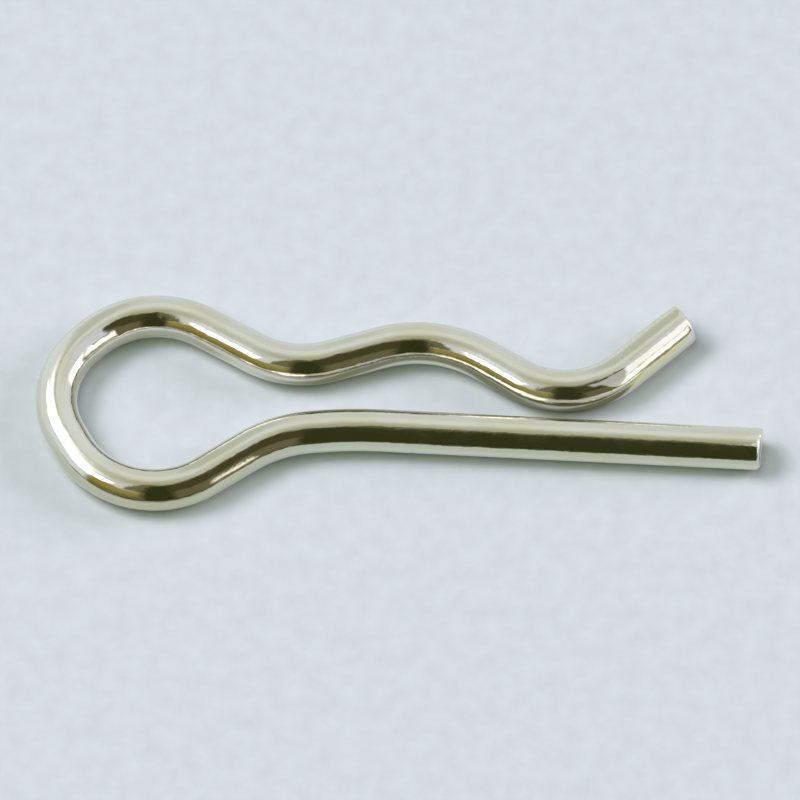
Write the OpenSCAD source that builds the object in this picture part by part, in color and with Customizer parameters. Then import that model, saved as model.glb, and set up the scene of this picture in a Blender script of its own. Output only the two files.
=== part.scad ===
// Hitch R clip: one length of spring wire, bent in one plane and plated.
// +X runs along the straight leg to its tip, +Z is up, and the clip lies flat.
// The origin is the centre of the shaft that the clip holds, at half the wire's depth.
// Every bend radius is to the middle of the wire.

/* [Wire] */
// Diameter of the wire
wire_d = 2.4; // [1.6:0.1:3]
// How much thinner the wire is drawn round a bend, so that bends and straights fuse cleanly
bend_thinning = 0.01; // [0.01:0.01:0.05]
// Radius of the rounded rim at each cut end
rim_r = 0.2; // [0.05:0.05:0.6]

/* [Straight leg] */
// From the centre of the shaft to the tip of the straight leg
leg_reach = 19.45; // [12:0.05:40]
// Bend radius of the slight bow behind the shaft
bow_r = 25; // [16:1:32]
// Angle that the bow turns through
bow_turn = 8; // [4:0.5:11]
// Length of the flat between the bow and the shoulder
bow_flat = 0.5; // [0.3:0.1:3]
// Bend radius of the shoulder, where the leg dips towards the eye
shoulder_r = 8.1; // [5:0.1:11]
// Slope of the dip between the shoulder and the eye
dip_slope = 37; // [31:1:44]

/* [Eye] */
// Depth of the eye's lowest point under the leg, between wire centres
eye_drop = 4.5; // [3.8:0.1:5.6]
// Bend radius at the bottom of the eye
low_r = 5.2; // [4:0.1:6.5]
// Angle that the bottom bend turns through
low_turn = 96; // [84:1:108]
// Length of the flat between the bottom bend and the back bend
low_flat = 0.8; // [0.3:0.1:3]
// Bend radius at the back of the eye
back_r = 4.85; // [4:0.05:6.5]
// Angle that the back bend turns through
back_turn = 76; // [64:1:88]
// Length of the flat between the back bend and the top bend
back_flat = 0.6; // [0.3:0.1:3]
// Bend radius at the top of the eye
top_r = 5.4; // [4:0.1:6.5]

/* [Spring leg] */
// Slope of the neck, from the eye down to the throat
neck_slope = 27; // [20:1:34]
// Bend radius of the throat, the valley next to the eye
throat_r = 5.45; // [4:0.05:7]
// Clear gap between the throat and the line of the straight leg
throat_gap = 1.6; // [1:0.05:2.3]
// Slope of the rise from the throat to the hump
rise_slope = 20; // [16:1:27]
// Bend radius of the hump that seats on the shaft
hump_r = 7.3; // [5.5:0.1:9]
// Clear gap between the hump and the straight leg
hump_gap = 3.35; // [2.8:0.05:4.5]
// Slope of the fall from the hump to the grip
fall_slope = 29; // [22:1:36]
// Bend radius of the grip, the valley that nearly touches the leg
grip_r = 5; // [4:0.1:7]
// Clear gap between the grip and the straight leg
grip_gap = 0.75; // [0.2:0.05:1.3]
// Slope of the lift, the kicked-up end
lift_slope = 45; // [30:1:60]
// Straight length of the lift
lift_len = 4.8; // [2:0.1:8]

/* [Hidden] */
$fn = 64;

// How far each bend runs into the straights at its two ends
lap = 0.1;

// Heights of the wire's centre over the leg's centre
throat_y = wire_d + throat_gap;
hump_y = wire_d + hump_gap;
grip_y = wire_d + grip_gap;

// Height that a bend of radius r gains or loses between headings a and b
function bend_rise(r, a, b) = r * abs(cos(b) - cos(a));

// Headings of the two flats of the eye, and the turn that is left for its top bend
low_head = 180 + dip_slope - low_turn;
back_head = low_head - back_turn;
top_turn = back_head + neck_slope;

// Height of the eye's highest point over the leg, between wire centres
eye_top_y = -eye_drop
    + bend_rise(low_r, 180, low_head) + low_flat * sin(low_head)
    + bend_rise(back_r, low_head, back_head) + back_flat * sin(back_head)
    + bend_rise(top_r, back_head, 0);

// Straights, as long as it takes to bring each bend to its height
dip_len = (eye_drop - bow_flat * sin(bow_turn) - bend_rise(bow_r, 0, bow_turn)
    - bend_rise(shoulder_r, bow_turn, dip_slope) - bend_rise(low_r, dip_slope, 0)) / sin(dip_slope);
neck_len = (eye_top_y - throat_y - bend_rise(top_r + throat_r, 0, neck_slope)) / sin(neck_slope);
rise_len = (hump_y - throat_y - bend_rise(throat_r + hump_r, 0, rise_slope)) / sin(rise_slope);
fall_len = (hump_y - grip_y - bend_rise(hump_r + grip_r, 0, fall_slope)) / sin(fall_slope);

// From the leg to the top of the hump: straight before a bend, its radius, its turn to the left
to_hump = [
    [0, bow_r, bow_turn],
    [bow_flat, shoulder_r, dip_slope - bow_turn],
    [dip_len, low_r, -low_turn],
    [low_flat, back_r, -back_turn],
    [back_flat, top_r, -top_turn],
    [neck_len, throat_r, neck_slope + rise_slope],
    [rise_len, hump_r, -rise_slope],
];

// Distance along X that the bends from number i on carry the wire
function run_x(bends, heading, i = 0) = i == len(bends) ? 0 :
    let (straight = bends[i][0], r = bends[i][1], turn = bends[i][2])
    straight * cos(heading)
    + sign(turn) * r * (sin(heading + turn) - sin(heading))
    + run_x(bends, heading + turn, i + 1);

// The leg's own straight, which brings the hump over the centre of the shaft
leg_len = leg_reach + run_x(to_hump, 180);

// The whole wire from the tip of the leg, in the same form as to_hump
wire_run = [
    [leg_len, bow_r, bow_turn],
    for (i = [1:len(to_hump) - 2]) to_hump[i],
    [rise_len, hump_r, -rise_slope - fall_slope],
    [fall_len, grip_r, fall_slope + lift_slope],
];

// Straight wire along +X from the origin
module straight(length) {
    rotate([0, 90, 0]) cylinder(h = length, d = wire_d);
}

// Wire that leaves the origin along +X and turns left, or right where turn is negative
module bend(r, turn) {
    lap_turn = asin(lap / r);
    mirror([0, turn < 0 ? 1 : 0, 0])
        translate([0, r, 0])
            rotate(-90 - lap_turn)
                rotate_extrude(angle = abs(turn) + 2 * lap_turn)
                    translate([r, 0]) circle(d = wire_d - bend_thinning);
}

// Straight wire that ends at x = length in a cut with a rounded rim
module cut_straight(length) {
    straight(length - rim_r);
    translate([length - rim_r, 0, 0]) rotate([0, 90, 0]) rotate_extrude() {
        square([wire_d / 2 - rim_r, rim_r]);
        translate([wire_d / 2 - rim_r, 0]) intersection() {
            circle(rim_r);
            square(rim_r);
        }
    }
}

// Wire after the straight of bend number i: the bend, then all that follows it
module wire_after(i) {
    r = wire_run[i][1];
    turn = wire_run[i][2];
    bend(r, turn);
    translate([r * sin(abs(turn)), sign(turn) * r * (1 - cos(turn)), 0]) rotate(turn) {
        if (i + 1 < len(wire_run)) {
            next = wire_run[i + 1][0];
            straight(next);
            translate([next, 0, 0]) wire_after(i + 1);
        } else {
            cut_straight(lift_len);
        }
    }
}

// The whole clip: the leg from its inner end out to the tip, and the wire behind it
module clip() {
    color([0.76, 0.74, 0.69])
        translate([leg_reach - leg_len, 0, 0]) {
            cut_straight(leg_len);
            rotate(180) wire_after(0);
        }
}

clip();
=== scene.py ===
import math

import bpy
from mathutils import Matrix, Vector
from mathutils.kdtree import KDTree


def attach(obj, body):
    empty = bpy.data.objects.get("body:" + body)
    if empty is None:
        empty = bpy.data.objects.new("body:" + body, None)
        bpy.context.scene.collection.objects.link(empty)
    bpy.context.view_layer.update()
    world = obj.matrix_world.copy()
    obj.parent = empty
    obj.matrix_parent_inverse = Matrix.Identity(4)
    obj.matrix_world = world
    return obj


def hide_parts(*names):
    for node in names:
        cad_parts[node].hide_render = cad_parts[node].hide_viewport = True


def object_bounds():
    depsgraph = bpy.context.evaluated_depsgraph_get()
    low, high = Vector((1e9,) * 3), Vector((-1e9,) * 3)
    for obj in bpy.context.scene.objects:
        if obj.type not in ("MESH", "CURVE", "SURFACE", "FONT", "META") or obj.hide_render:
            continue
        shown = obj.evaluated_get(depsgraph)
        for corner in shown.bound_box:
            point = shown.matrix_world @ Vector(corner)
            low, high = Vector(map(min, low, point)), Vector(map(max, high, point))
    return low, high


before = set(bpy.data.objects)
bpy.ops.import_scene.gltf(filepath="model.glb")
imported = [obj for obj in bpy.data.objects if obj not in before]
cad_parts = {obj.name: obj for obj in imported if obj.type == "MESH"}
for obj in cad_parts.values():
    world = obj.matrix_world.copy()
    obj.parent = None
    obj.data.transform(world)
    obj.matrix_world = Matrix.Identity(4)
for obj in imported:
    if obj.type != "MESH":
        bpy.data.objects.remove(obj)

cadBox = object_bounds()
mm = 0.001
scene = bpy.context.scene
scene.view_settings.view_transform = "Standard"
print("frame loaded, box", cadBox)


def deselectAll():
    if bpy.context.object and bpy.context.object.mode != "OBJECT":
        bpy.ops.object.mode_set(mode="OBJECT")
    bpy.ops.object.select_all(action="DESELECT")


def newNode(tree, kind, values=None, **settings):  # a node with its settings and unlinked inputs
    node = tree.nodes.new(kind)
    for name, value in settings.items():
        setattr(node, name, value)
    for name, value in (values or {}).items():
        node.inputs[name].default_value = value
    return node


def mathNode(tree, operation, a, b=None, c=None, clamp=False):
    node = newNode(tree, "ShaderNodeMath", operation=operation, use_clamp=clamp)
    for place, value in enumerate((a, b, c)):
        if value is None:
            continue
        if isinstance(value, (int, float)):
            node.inputs[place].default_value = value
        else:
            tree.links.new(value, node.inputs[place])
    return node.outputs[0]


def smoothStep(tree, value, low, high):  # 0 below low, 1 above high, or the other way round
    node = newNode(tree, "ShaderNodeMapRange", interpolation_type="SMOOTHSTEP")
    tree.links.new(value, node.inputs["Value"])
    node.inputs["From Min"].default_value = min(low, high)
    node.inputs["From Max"].default_value = max(low, high)
    node.inputs["To Min"].default_value = 0 if low < high else 1
    node.inputs["To Max"].default_value = 1 if low < high else 0
    return node.outputs["Result"]


def mixColour(tree, mask, under, over):  # each a socket or a colour
    node = newNode(tree, "ShaderNodeMix", data_type="RGBA")
    for name, value in ((0, mask), (6, under), (7, over)):
        if hasattr(value, "links"):
            tree.links.new(value, node.inputs[name])
        elif name:
            node.inputs[name].default_value = (*value, 1)
        else:
            node.inputs[name].default_value = value
    return node.outputs[2]


def multiplyVectors(tree, a, b):
    node = newNode(tree, "ShaderNodeVectorMath", operation="MULTIPLY")
    for place, value in enumerate((a, b)):
        if hasattr(value, "links"):
            tree.links.new(value, node.inputs[place])
        else:
            node.inputs[place].default_value = value
    return node.outputs[0]


# In millimetres and degrees. A flat is the straight after a bend, a slope is against the straight leg,
# and a gap is the clear space over that leg.
clip = {
    "wire": 2.4,  # diameter of the wire
    "tip": 19.45,  # from the shaft's centre to the tip of the straight leg
    "bowRadius": 25, "bowTurn": 8, "bowFlat": 0.5,
    "shoulderRadius": 8.1, "dipSlope": 37,
    "eyeDrop": 4.5,  # lowest point of the eye under the leg
    "lowRadius": 5.2, "lowTurn": 96, "lowFlat": 0.8,
    "backRadius": 4.85, "backTurn": 76, "backFlat": 0.6,
    "topRadius": 5.4, "neckSlope": 27,
    "throatRadius": 5.45, "throatGap": 1.6, "riseSlope": 20,
    "humpRadius": 7.3, "humpGap": 3.35, "fallSlope": 29,
    "gripRadius": 5, "gripGap": 0.75, "liftSlope": 45,
    "lift": 4.8,  # straight length of the kicked-up end
}


def climb(radius, a, b):  # height between two headings round a bend
    return radius * abs(math.cos(math.radians(b)) - math.cos(math.radians(a)))


def sine(angle):
    return math.sin(math.radians(angle))


def clipRoute(c):  # rows of straight, bend radius, turn to the left
    lowHead = 180 + c["dipSlope"] - c["lowTurn"]
    backHead = lowHead - c["backTurn"]
    topTurn = backHead + c["neckSlope"]
    eyeTop = (-c["eyeDrop"]
              + climb(c["lowRadius"], 180, lowHead) + c["lowFlat"] * sine(lowHead)
              + climb(c["backRadius"], lowHead, backHead) + c["backFlat"] * sine(backHead)
              + climb(c["topRadius"], backHead, 0))
    throat, hump, grip = (c["wire"] + c[gap] for gap in ("throatGap", "humpGap", "gripGap"))
    dip = (c["eyeDrop"] - c["bowFlat"] * sine(c["bowTurn"]) - climb(c["bowRadius"], 0, c["bowTurn"])
           - climb(c["shoulderRadius"], c["bowTurn"], c["dipSlope"])
           - climb(c["lowRadius"], c["dipSlope"], 0)) / sine(c["dipSlope"])
    neck = (eyeTop - throat
            - climb(c["topRadius"] + c["throatRadius"], 0, c["neckSlope"])) / sine(c["neckSlope"])
    rise = (hump - throat
            - climb(c["throatRadius"] + c["humpRadius"], 0, c["riseSlope"])) / sine(c["riseSlope"])
    fall = (hump - grip
            - climb(c["humpRadius"] + c["gripRadius"], 0, c["fallSlope"])) / sine(c["fallSlope"])
    rows = [
        [0, c["bowRadius"], c["bowTurn"]],
        [c["bowFlat"], c["shoulderRadius"], c["dipSlope"] - c["bowTurn"]],
        [dip, c["lowRadius"], -c["lowTurn"]],
        [c["lowFlat"], c["backRadius"], -c["backTurn"]],
        [c["backFlat"], c["topRadius"], -topTurn],
        [neck, c["throatRadius"], c["neckSlope"] + c["riseSlope"]],
        [rise, c["humpRadius"], -c["riseSlope"]],
    ]
    # the leg is as long as brings the hump over the shaft's centre
    along, heading = 0, 180
    for straight, radius, turn in rows:
        along += straight * math.cos(math.radians(heading))
        along += math.copysign(radius, turn) * (sine(heading + turn) - sine(heading))
        heading += turn
    rows[0][0] = c["tip"] + along
    rows[-1][2] -= c["fallSlope"]
    rows.append([fall, c["gripRadius"], c["fallSlope"] + c["liftSlope"]])
    rows.append([c["lift"], 0, 0])
    return rows


wireLook = {
    "slack": 0.005,  # how far the skin stays inside the drawn size, mm
    "sides": 112,  # faces round the wire
    "ringsPerMm": 3.6,  # rings along a straight
    "degreesPerRing": 1.4,  # rings round a bend
    "endRing": 0.6,  # plain length kept at each cut, mm
    "pointStep": 0.1,  # distance between the centreline's points, mm
    "pinBend": 9,  # bends of a smaller radius than this show the bending pins, mm
    "smoothUnder": 35,  # edges are smooth up to this angle
}


def newWire(c, look):
    deselectAll()
    bpy.ops.mesh.primitive_circle_add(
        vertices=look["sides"], radius=(c["wire"] / 2 - look["slack"]) * mm, fill_type="NOTHING",
        location=(c["tip"] * mm, 0, 0), rotation=(0, math.pi / 2, 0))
    wire = bpy.context.object
    wire.name = wire.data.name = "bentWire"
    bpy.ops.object.transform_apply(location=True, rotation=True, scale=True)
    bpy.ops.object.mode_set(mode="EDIT")
    bpy.ops.mesh.select_all(action="SELECT")
    place, heading = Vector((c["tip"] * mm, 0, 0)), math.pi
    middles, bends, length = [], [], 0  # the centreline's points and the bends' places along it
    apart = look["pointStep"]
    rows = clipRoute(c)
    for row, (straight, bend, turn) in enumerate(rows):
        forward = Vector((math.cos(heading), math.sin(heading), 0))
        plain = look["endRing"] if row in (0, len(rows) - 1) else 0
        steps = max(1, round((straight - plain) * look["ringsPerMm"]))
        lengths = [(straight - plain) / steps] * steps
        if plain:
            lengths.insert(0 if row == 0 else steps, plain)
        for part in lengths:
            bpy.ops.mesh.extrude_region_move(TRANSFORM_OT_translate={"value": forward * part * mm})
        for step in range(int(straight / apart) + 1):
            middles.append((place + forward * step * apart * mm, forward, length + step * apart))
        place += forward * straight * mm
        length += straight
        if not bend:
            break
        side = math.copysign(1, turn)
        centre = place + Vector((-forward.y, forward.x, 0)) * side * bend * mm
        bpy.ops.mesh.spin(  # a positive angle turns clockwise
            steps=max(2, round(abs(turn) / look["degreesPerRing"])), dupli=False,
            angle=math.radians(-turn), center=centre, axis=(0, 0, 1))
        arc = math.radians(abs(turn)) * bend
        for step in range(int(arc / apart) + 1):
            swing = Matrix.Rotation(math.radians(turn) * step * apart / arc, 3, "Z")
            middles.append((centre + swing @ (place - centre), swing @ forward, length + step * apart))
        if bend < look["pinBend"]:
            bends.append((length + arc / 2, arc, 90 * side))
        place = centre + Matrix.Rotation(math.radians(turn), 3, "Z") @ (place - centre)
        heading += math.radians(turn)
        length += arc
    bpy.ops.mesh.select_all(action="SELECT")
    bpy.ops.mesh.remove_doubles(threshold=1e-7)
    bpy.ops.mesh.normals_make_consistent(inside=False)
    bpy.ops.object.mode_set(mode="OBJECT")
    print("wire swept:", len(wire.data.vertices), "vertices,", round(length, 2), "mm long")
    return wire, middles, bends, length, forward


def selectVertices(piece, test):
    deselectAll()
    bpy.context.view_layer.objects.active = piece
    piece.select_set(True)
    bpy.ops.object.mode_set(mode="EDIT")
    bpy.ops.mesh.select_mode(type="VERT")
    bpy.ops.mesh.select_all(action="DESELECT")
    bpy.ops.object.mode_set(mode="OBJECT")
    for vertex in piece.data.vertices:
        vertex.select = test(vertex.co)
    bpy.ops.object.mode_set(mode="EDIT")


cuts = {  # the two sheared ends, in mm and degrees
    "rim": 0.19, "rimSteps": 5,  # rounded rim
    "dish": 0.02, "dishRim": 0.25,  # how far the middle of the cut lies in, and how far from the rim
    "tornHalf": 0.07,  # half width of the step where the torn part starts
    # what goes back there: from and to, past the middle of the step, and the share of the way back
    "tornSteps": ((-0.02, 0.02, 0.5), (0.05, 9, 1)),
    "reach": 2, "past": 0.03,  # an end is chosen within reach of its middle, and this far past its rim
    # slant is how far the cut is turned, about the edge that stays: left (1) or right (-1) looking outwards
    # torn is which way the torn part of the cut lies, start where it begins and back how far back it is
    "leg": {"slant": -2, "stays": 1, "torn": (0, -0.9, 0.44), "start": 0.25, "back": 0.06},
    "lift": {"slant": -7, "stays": 1, "torn": (0.3, -0.3, 0.9), "start": 0.35, "back": 0.05},
}


def cutEnd(piece, point, outward, c, cut):  # closes and shapes an open end
    def inEnd(depth):
        return lambda co: (co - point).length < c["reach"] * mm and (co - point) @ outward > -depth * mm

    selectVertices(piece, inEnd(0.01))
    bpy.ops.mesh.edge_face_add()
    bpy.ops.mesh.bevel(offset=c["rim"] * mm, offset_type="OFFSET", segments=c["rimSteps"], profile=0.5)
    selectVertices(piece, inEnd(0.001))
    bpy.ops.mesh.inset(thickness=c["dishRim"] * mm, depth=-c["dish"] * mm)
    near = inEnd(c["rim"] + c["past"])
    side = Vector(cut["torn"]).normalized()
    for shift in (-c["tornHalf"], 0, c["tornHalf"]):  # three cuts across the end
        selectVertices(piece, near)
        bpy.ops.mesh.bisect(plane_co=point + side * (cut["start"] + shift) * mm, plane_no=side)
    for low, high, share in c["tornSteps"]:
        selectVertices(piece, lambda co: near(co)
                       and low * mm < (co - point) @ side - cut["start"] * mm < high * mm)
        bpy.ops.transform.translate(value=-outward * cut["back"] * share * mm)
    selectVertices(piece, inEnd(c["rim"] + cut["back"] + c["past"]))
    left = Vector((-outward.y, outward.x, 0))
    bpy.ops.transform.rotate(  # turns the other way from a session with a window
        value=math.radians(-cut["slant"]), orient_axis="Z",
        center_override=point + left * cut["stays"] * clip["wire"] / 2 * mm)
    bpy.ops.mesh.select_all(action="SELECT")
    bpy.ops.mesh.normals_make_consistent(inside=False)
    bpy.ops.object.mode_set(mode="OBJECT")


def straighten(piece, middles):  # where each vertex would lie if the wire were straight, in mm
    tree = KDTree(len(middles))
    for number, middle in enumerate(middles):
        tree.insert(middle[0], number)
    tree.balance()
    places = []
    for vertex in piece.data.vertices:
        place, forward, along = middles[tree.find((vertex.co.x, vertex.co.y, 0))[1]]
        off = (vertex.co - place) / mm
        places.append(Vector((forward.x * off.y - forward.y * off.x, off.z, along + off @ forward)))
    drawn = piece.data.attributes.new("straightened", "FLOAT_VECTOR", "POINT")
    drawn.data.foreach_set("vector", [value for place in places for value in place])
    return places


wear = {
    "depth": 0.12,  # deepest mark, mm
    # marks: place along from the leg's tip, degrees round from the top to the left on the way there,
    # half length, half width, depth
    "marks": [
        (63.7, -28, 0.10, 16, 0.030), (49.9, -45, 0.35, 14, 0.020), (47.9, -52, 0.30, 12, 0.016),
        (80.0, -34, 0.45, 16, 0.022), (78.9, -20, 0.25, 12, 0.012), (37.6, 48, 0.40, 14, 0.014),
        (8.5, 30, 0.18, 9, 0.006), (18.6, 24, 0.15, 8, 0.006), (52.6, -30, 0.20, 10, 0.012),
        (85.7, 90, 0.7, 45, 0.11),  # rolled in by the shear
    ],
    # what the bending pins pressed on the inside of a bend: half length as a share of the bend,
    # half width in degrees, depth in mm
    "pinFlat": (0.32, 30, 0.025),
    "waves": ((5, 0.009), (1.6, 0.004)),  # size and depth of the drawn wire's unevenness, mm
}


def wearWire(piece, places, bends, w):
    share, *pinFlat = w["pinFlat"]
    marks = w["marks"] + [(along, side, arc * share, *pinFlat) for along, arc, side in bends]
    group = piece.vertex_groups.new(name="pressed")
    for number, (side, height, along) in enumerate(places):
        weight = 0
        for place, around, halfLength, halfWidth, depth in marks:
            reach = (along - place) / halfLength
            if abs(reach) < 2.5:  # a mark has faded out by then
                turn = (math.degrees(math.atan2(side, height)) - around) / halfWidth
                weight += depth / w["depth"] * math.exp(-reach * reach - turn * turn)
        if weight > 0.01:
            group.add([number], min(weight, 1), "REPLACE")
    deselectAll()
    bpy.context.view_layer.objects.active = piece
    piece.select_set(True)
    press = piece.modifiers.new("press", "DISPLACE")
    press.vertex_group, press.strength, press.mid_level = "pressed", -w["depth"] * mm, 0
    for size, depth in w["waves"]:
        clouds = bpy.data.textures.new("unevenness", "CLOUDS")
        clouds.noise_scale, clouds.noise_depth = size * mm, 1
        wave = piece.modifiers.new("wave", "DISPLACE")
        wave.texture, wave.strength, wave.mid_level = clouds, depth * mm, 1
    for name in [modifier.name for modifier in piece.modifiers]:
        bpy.ops.object.modifier_apply(modifier=name)
    piece.vertex_groups.clear()


wire, middles, bends, length, outward = newWire(clip, wireLook)
cutEnd(wire, Vector((clip["tip"] * mm, 0, 0)), Vector((1, 0, 0)), cuts, cuts["leg"])
cutEnd(wire, middles[-1][0] + outward * (length - middles[-1][2]) * mm, outward, cuts, cuts["lift"])
print("ends cut")
places = straighten(wire, middles)
wearWire(wire, places, bends, wear)
deselectAll()
bpy.context.view_layer.objects.active = wire
wire.select_set(True)
bpy.ops.object.shade_smooth_by_angle(angle=math.radians(wireLook["smoothUnder"]))
print("wire worn")

plating = {
    "nickel": (0.72, 0.69, 0.62), "warm": (0.70, 0.66, 0.54),  # colour and its warmer clouds
    "roughness": (0.055, 0.13), "tornRoughness": 0.12,  # the torn cut adds to the wire's own
    "lines": 0.011, "grain": 0.001, "torn": 0.02,  # heights of drawn lines, grain and torn cut, mm
    "cut": (0.16, 0.05),  # the look of the cut starts and is full this far from an end, mm
    # sizes are repeats per mm across, up and along the wire
    # edges are the noise at which a cloud or a patch starts and is full
    "cloudSize": (0.5, 0.5, 0.25), "cloudEdge": (0.42, 0.66),
    "patchSize": (1.3, 1.3, 0.6), "patchEdge": (0.4, 0.75),
    "lineSize": (3, 3, 0.9), "grainSize": (9, 9, 7), "crackSize": (3, 3, 3),
}


def platedNickel(p, length):
    material = bpy.data.materials.new("platedNickel")
    material.use_nodes = True
    tree = material.node_tree
    shader = tree.nodes["Principled BSDF"]
    shader.inputs["Metallic"].default_value = 1
    drawn = newNode(tree, "ShaderNodeAttribute", attribute_name="straightened").outputs["Vector"]

    def noise(stretch, detail=2.0):
        node = newNode(tree, "ShaderNodeTexNoise", {"Scale": 1.0, "Detail": detail, "Roughness": 0.6})
        tree.links.new(multiplyVectors(tree, drawn, stretch), node.inputs["Vector"])
        return node.outputs["Fac"]

    clouds = smoothStep(tree, noise(p["cloudSize"]), *p["cloudEdge"])
    tree.links.new(mixColour(tree, clouds, p["nickel"], p["warm"]), shader.inputs["Base Color"])
    low, high = p["roughness"]
    patches = smoothStep(tree, noise(p["patchSize"]), *p["patchEdge"])
    dull = mathNode(tree, "MULTIPLY_ADD", patches, high - low, low)
    parts = newNode(tree, "ShaderNodeSeparateXYZ")
    tree.links.new(drawn, parts.inputs[0])
    fromMiddle = mathNode(tree, "ABSOLUTE", mathNode(tree, "SUBTRACT", parts.outputs[2], length / 2))
    start, full = p["cut"]
    torn = smoothStep(tree, fromMiddle, length / 2 - start, length / 2 - full)
    dull = mathNode(tree, "MULTIPLY_ADD", torn, p["tornRoughness"], dull)
    tree.links.new(dull, shader.inputs["Roughness"])
    height = mathNode(tree, "MULTIPLY", noise(p["lineSize"], 3.0), p["lines"] * mm)
    height = mathNode(tree, "MULTIPLY_ADD", noise(p["grainSize"], 3.0), p["grain"] * mm, height)
    crack = mathNode(tree, "MULTIPLY", noise(p["crackSize"], 5.0), p["torn"] * mm)
    height = mathNode(tree, "MULTIPLY_ADD", crack, torn, height)
    bump = newNode(tree, "ShaderNodeBump", {"Strength": 1.0, "Distance": 1.0})
    tree.links.new(height, bump.inputs["Height"])
    tree.links.new(bump.outputs["Normal"], shader.inputs["Normal"])
    return material


wire.data.materials.append(platedNickel(plating, length))
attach(wire, "root")
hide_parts("clip")
print("wire plated")

camera = {
    "pixelsPerMm": 17.7,  # scale of the picture at the clip
    "picture": 800,  # pixels each way
    "tilt": 28.5,  # degrees from straight down
    "turn": 3.2,  # degrees round from the front towards the leg's tip
    "aim": (-1.13, 2.02),  # point on the clip's plane at the picture's centre, mm
    "distance": 1500,  # mm
}


def newCamera(c):
    data = bpy.data.cameras.new("pictureCamera")
    data.sensor_width = 36
    data.lens = data.sensor_width * c["distance"] * c["pixelsPerMm"] / c["picture"]
    data.clip_start, data.clip_end = 0.01, 20
    view = bpy.data.objects.new("pictureCamera", data)
    scene.collection.objects.link(view)
    tilt, turn = math.radians(c["tilt"]), math.radians(c["turn"])
    view.rotation_euler = (tilt, 0, turn)
    away = Vector((math.sin(turn) * math.sin(tilt), -math.cos(turn) * math.sin(tilt), math.cos(tilt)))
    view.location = Vector((*c["aim"], 0)) * mm + away * c["distance"] * mm
    scene.camera = view


# What the bright metal sees round it: soft-edged patches, laid over each other from the first to the last.
# Each has the bearing of its middle (degrees counterclockwise from the right of the picture), its width,
# the angles from overhead where it starts and ends, the blur of its edges and its colour.
surroundings = {
    "sky": (0.761, 0.827, 0.804),
    "patches": [
        ("overhead", 90, 400, -40, 13.8, 30, (0.494, 0.516, 0.339)),
        ("back glow", 90, 80, 24, 48, 10, (0.86, 0.91, 0.84)),
        ("bright sky", 46, 52, 38, 75, 10, (0.88, 0.95, 0.98)),
        ("grey strip", 106, 15, 24, 80, 9, (0.62, 0.68, 0.60)),
        ("left haze", 166.5, 99, 21.2, 96, 4.5, (0.861, 0.947, 0.99)),
        ("left glow", 158.5, 75, 24, 46, 21.6, (1.7, 1.8, 1.85)),
        ("left screen", 183.5, 89, 34.3, 59.4, 5.4, (2.3, 2.4, 2.5)),
        ("warm wall", 238.6, 53, 52.8, 74.6, 5.6, (0.37, 0.315, 0.075)),
        ("low wall", 236.7, 48, 72.4, 93, 10, (0.22, 0.195, 0.055)),
        ("brown wall", 260, 38, 4.4, 51.2, 5.3, (0.186, 0.178, 0.090)),
        ("dark front", 324.3, 93, 12, 97, 4, (0.165, 0.160, 0.080)),
        ("brown front", 321.8, 75.5, 8.5, 49.2, 10, (0.074, 0.070, 0.026)),
        ("dark middle", 272.6, 28.5, 10.9, 97, 9.7, (0.040, 0.047, 0.015)),
        ("golden low", 332, 26, 80, 99, 5, (0.42, 0.36, 0.13)),
        ("right haze", 348.3, 98.4, 1, 52.3, 3, (0.794, 0.831, 0.888)),
        ("right window", 331, 32, 57, 80, 6, (1.35, 1.35, 1.2)),
        ("right screen", 6.5, 28, 55, 95, 9, (2.0, 2.1, 2.2)),
        ("back window", 128, 50, 28, 100, 8, (2.4, 2.4, 2.3)),
    ],
    "twiceNames": ("back window",),  # seen only in a reflection of a reflection
    # the right side ends at a slanting edge: the bearing and height of the way that the edge faces
    "rightEdge": (42.9, -16.0), "rightBlur": 0.03, "rightNames": ("right haze", "right window"),
}


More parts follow.
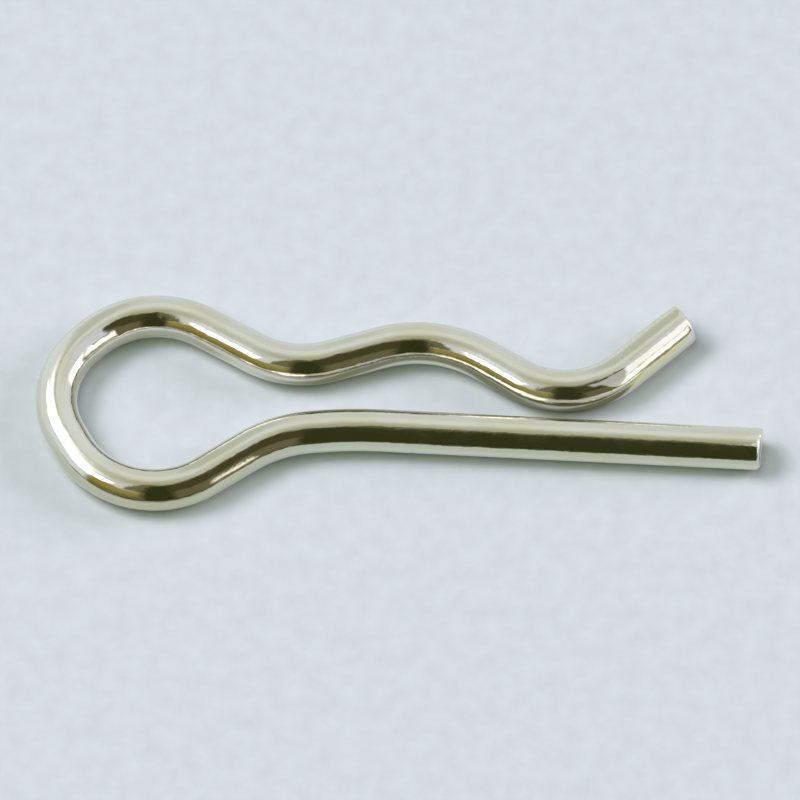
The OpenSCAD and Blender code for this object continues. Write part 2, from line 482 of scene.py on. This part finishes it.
def newSurroundings(s, turn):
    world = bpy.data.worlds.new("softStudio")
    scene.world = world
    world.use_nodes = True
    world.cycles.sampling_method = "NONE"
    tree = world.node_tree
    where = newNode(tree, "ShaderNodeTexCoord").outputs["Generated"]
    parts = newNode(tree, "ShaderNodeSeparateXYZ")
    tree.links.new(where, parts.inputs[0])
    x, y, z = parts.outputs
    square = mathNode(tree, "MULTIPLY_ADD", y, y, 1e-8)  # never quite zero
    across = mathNode(tree, "SQRT", mathNode(tree, "MULTIPLY_ADD", x, x, square))
    fromTop = mathNode(tree, "MULTIPLY", mathNode(tree, "ARCCOSINE", z), 180 / math.pi)
    bearing, height = (math.radians(angle) for angle in s["rightEdge"])
    bearing += math.radians(turn)
    edge = newNode(tree, "ShaderNodeVectorMath", operation="DOT_PRODUCT")
    tree.links.new(where, edge.inputs[0])
    edge.inputs[1].default_value = (
        math.cos(bearing) * math.cos(height), math.sin(bearing) * math.cos(height), math.sin(height))
    rightSide = smoothStep(tree, edge.outputs["Value"], -s["rightBlur"], s["rightBlur"])
    path = newNode(tree, "ShaderNodeLightPath")
    twice = mathNode(tree, "SUBTRACT", path.outputs["Glossy Depth"], 1.0, clamp=True)
    colour = s["sky"]
    for name, bearing, width, near, far, blur, light in s["patches"]:
        a = math.radians(bearing + turn)
        facing = mathNode(tree, "MULTIPLY_ADD", x, math.cos(a), mathNode(tree, "MULTIPLY", y, math.sin(a)))
        facing = mathNode(tree, "DIVIDE", facing, across)
        off = mathNode(tree, "MULTIPLY", mathNode(tree, "ARCCOSINE", facing), 180 / math.pi)
        mask = smoothStep(tree, off, width / 2 + blur / 2, width / 2 - blur / 2)
        mask = mathNode(tree, "MULTIPLY", mask, smoothStep(tree, fromTop, near - blur / 2, near + blur / 2))
        mask = mathNode(tree, "MULTIPLY", mask, smoothStep(tree, fromTop, far + blur / 2, far - blur / 2))
        if name in s["rightNames"]:
            mask = mathNode(tree, "MULTIPLY", mask, rightSide)
        if name in s["twiceNames"]:
            mask = mathNode(tree, "MULTIPLY", mask, twice)
        colour = mixColour(tree, mask, colour, light)
    return tree, colour


# What lights the paper: lamps that the metal doesn't mirror, and an even glow. Each lamp has its bearing,
# its angle from overhead, its half width in metres, its share of the light and its colour.
lamps = {
    "key": (160, 36, 0.45, 0.40, (1.01, 0.95, 1.04)),
    "side": (185, 42, 0.45, 0.15, (1.01, 0.95, 1.04)),
    "top": (160, 8, 0.40, 0.155, (0.91, 0.96, 1.12)),
    "right": (15, 64, 0.55, 0.195, (1.00, 0.92, 1.04)),
    "front": (250, 20, 0.40, 0.125, (1.00, 1.25, 0.72)),
}
lampDistance = 2  # metres
glow = (0.015, 0.015, 0.01)
thrownBack = 0.15  # the share of what the metal sees that it throws onto the paper
# A wide lamp close over the right, seen only in the metal: its corner is in mm from the picture's middle.
nearLamp = {
    "corner": (17.3, -8.7), "height": 35, "heading": -44.6, "size": (150, 46.8),
    "light": (0.50, 0.53, 0.56),
}


def newLamps(rows, turn):
    for name, (bearing, fromTop, width, share, tint) in rows.items():
        lamp = bpy.data.lights.new(name + "Lamp", "AREA")
        lamp.shape, lamp.size, lamp.color = "DISK", 2 * width, tint
        tip = math.radians(fromTop)
        # a share of 1 in all shows a colour as it is written
        lamp.energy = share * (math.pi * lampDistance) ** 2 / math.cos(tip)
        holder = bpy.data.objects.new(name + "Lamp", lamp)
        scene.collection.objects.link(holder)
        a = math.radians(bearing + turn)
        place = Vector((math.cos(a) * math.sin(tip), math.sin(a) * math.sin(tip), math.cos(tip)))
        holder.location = place * lampDistance
        holder.rotation_euler = place.to_track_quat("Z", "Y").to_euler()
        holder.visible_glossy = False


def newNearLamp(n, c):
    length, width = n["size"]
    heading = math.radians(n["heading"])
    lamp = bpy.data.lights.new("nearLamp", "AREA")
    lamp.shape, lamp.size, lamp.size_y, lamp.color = "RECTANGLE", length * mm, width * mm, n["light"]
    lamp.energy = math.pi * length * width * mm * mm
    holder = bpy.data.objects.new("nearLamp", lamp)
    scene.collection.objects.link(holder)
    along = Vector((math.cos(heading), math.sin(heading)))
    middle = Vector(n["corner"]) + along * length / 2 + Vector((-along.y, along.x)) * width / 2
    middle = Matrix.Rotation(math.radians(c["turn"]), 2) @ middle + Vector(c["aim"])
    holder.location = (middle.x * mm, middle.y * mm, n["height"] * mm)
    holder.rotation_euler = (0, 0, heading + math.radians(c["turn"]))
    holder.visible_camera = holder.visible_diffuse = False


def newStudio(c):
    turn = c["turn"]
    tree, seen = newSurroundings(surroundings, turn)
    path = newNode(tree, "ShaderNodeLightPath")
    shade = tree.nodes["Background"]
    direct = mathNode(tree, "MULTIPLY_ADD", path.outputs["Diffuse Depth"], thrownBack - 1, 1.0, clamp=True)
    mirrors = mathNode(tree, "MULTIPLY", path.outputs["Is Glossy Ray"], direct)
    tree.links.new(mixColour(tree, mirrors, glow, seen), shade.inputs["Color"])
    newLamps(lamps, turn)
    newNearLamp(nearLamp, c)


paper = {
    "colour": (0.685, 0.735, 0.765),
    # painted reflection: the colour the wire mirrors for the sheet behind the leg, a darker painted shade
    # for it in front, and a painted glow of the sheet there, all seen only in the metal
    "paintedReflection": (0.38, 0.43, 0.49), "paintedShadeInFront": (0.25, 0.305, 0.25), "glow": (0.34, 0.37, 0.34),
    # the painted reflection changes from behind the leg to the painted shade in front of it, and then to a
    # painted dark reflection, between these distances in front of the leg, mm
    "behind": (1, 4), "edge": (9, 19), "dark": (0.03, 0.035, 0.012),
    # painted shade on the mirrored sheet, between the legs, in the gap under the grip and in the eye, and a
    # painted warm cast under the kicked-up end: middle, half sizes in mm, colour
    "paintedShadeTints": [
        (17.5, 3.0, 5, 2.6, (1.0, 0.95, 0.62)), (0.7, 2.3, 10.2, 1.55, (0.33, 0.33, 0.22)),
        (11, 1.9, 4, 1.2, (0.25, 0.24, 0.13)), (-15.4, 3.9, 3.8, 2.0, (0.66, 0.66, 0.58)),
    ],
    "paintedShadeEdge": (0.6, 1.2),  # a painted shade is full and ends at these shares of its half sizes
    "grain": 900, "mottle": 0.17, "roughness": 0.6, "specular": 0.25,
    "width": 4,  # metres
}


def newFloor(drop):
    deselectAll()
    bpy.ops.mesh.primitive_plane_add(size=paper["width"], location=(0, 0, drop))
    floor = bpy.context.object
    floor.name = "paperSheet"
    material = bpy.data.materials.new("palePaper")
    material.use_nodes = True
    tree = material.node_tree
    shader = tree.nodes["Principled BSDF"]
    where = newNode(tree, "ShaderNodeTexCoord").outputs["Object"]
    parts = newNode(tree, "ShaderNodeSeparateXYZ")
    tree.links.new(where, parts.inputs[0])
    x, y = parts.outputs[:2]
    # bright is 0 where the mirrored sheet is painted dark, far in front of the leg; behind goes from the
    # painted shade in front to the painted reflection behind
    bright, behind = (
        smoothStep(tree, y, -far * mm, -near * mm) for near, far in (paper["edge"], paper["behind"]))
    full, end = paper["paintedShadeEdge"]
    tint = (1, 1, 1)
    # each painted shade darkens the mirrored sheet and its painted glow inside a soft ellipse; the one
    # under the kicked-up end paints a warm cast
    for middleX, middleY, halfX, halfY, shade in paper["paintedShadeTints"]:
        across = mathNode(tree, "MULTIPLY_ADD", x, 1 / (halfX * mm), -middleX / halfX)
        up = mathNode(tree, "MULTIPLY_ADD", y, 1 / (halfY * mm), -middleY / halfY)
        square = mathNode(tree, "MULTIPLY_ADD", across, across, mathNode(tree, "MULTIPLY", up, up))
        away = mathNode(tree, "SQRT", square)
        tint = mixColour(tree, smoothStep(tree, away, end, full), tint, shade)
    # the metal sees a painted reflection of the sheet: painted shade in front of the leg, a lighter painted
    # colour behind it
    paintedReflection = mixColour(tree, behind, paper["paintedShadeInFront"], paper["paintedReflection"])
    # past the edge the reflection is painted dark, and the painted shades darken it
    paintedReflection = multiplyVectors(tree, mixColour(tree, bright, paper["dark"], paintedReflection), tint)
    path = newNode(tree, "ShaderNodeLightPath")
    # only reflections show the painted colours; the camera and the lamps see the paper's own colour
    colour = mixColour(tree, path.outputs["Is Glossy Ray"], paper["colour"], paintedReflection)
    grain = newNode(tree, "ShaderNodeTexNoise", {"Scale": paper["grain"], "Detail": 3.0})
    tree.links.new(where, grain.inputs["Vector"])
    mottle = mathNode(tree, "MULTIPLY_ADD", grain.outputs["Fac"], paper["mottle"], 1 - paper["mottle"] / 2)
    tree.links.new(multiplyVectors(tree, colour, mottle), shader.inputs["Base Color"])
    # a painted glow of the sheet, lit by no lamp and seen only in the metal, dimmed by the painted shades
    # and gone past the painted dark edge
    tree.links.new(multiplyVectors(tree, tint, paper["glow"]), shader.inputs["Emission Color"])
    strength = mathNode(tree, "MULTIPLY", path.outputs["Is Glossy Ray"], bright)
    tree.links.new(strength, shader.inputs["Emission Strength"])
    shader.inputs["Roughness"].default_value = paper["roughness"]
    shader.inputs["Specular IOR Level"].default_value = paper["specular"]
    floor.data.materials.append(material)


newCamera(camera)
newStudio(camera)
newFloor(cadBox[0][2])
print("studio lit")
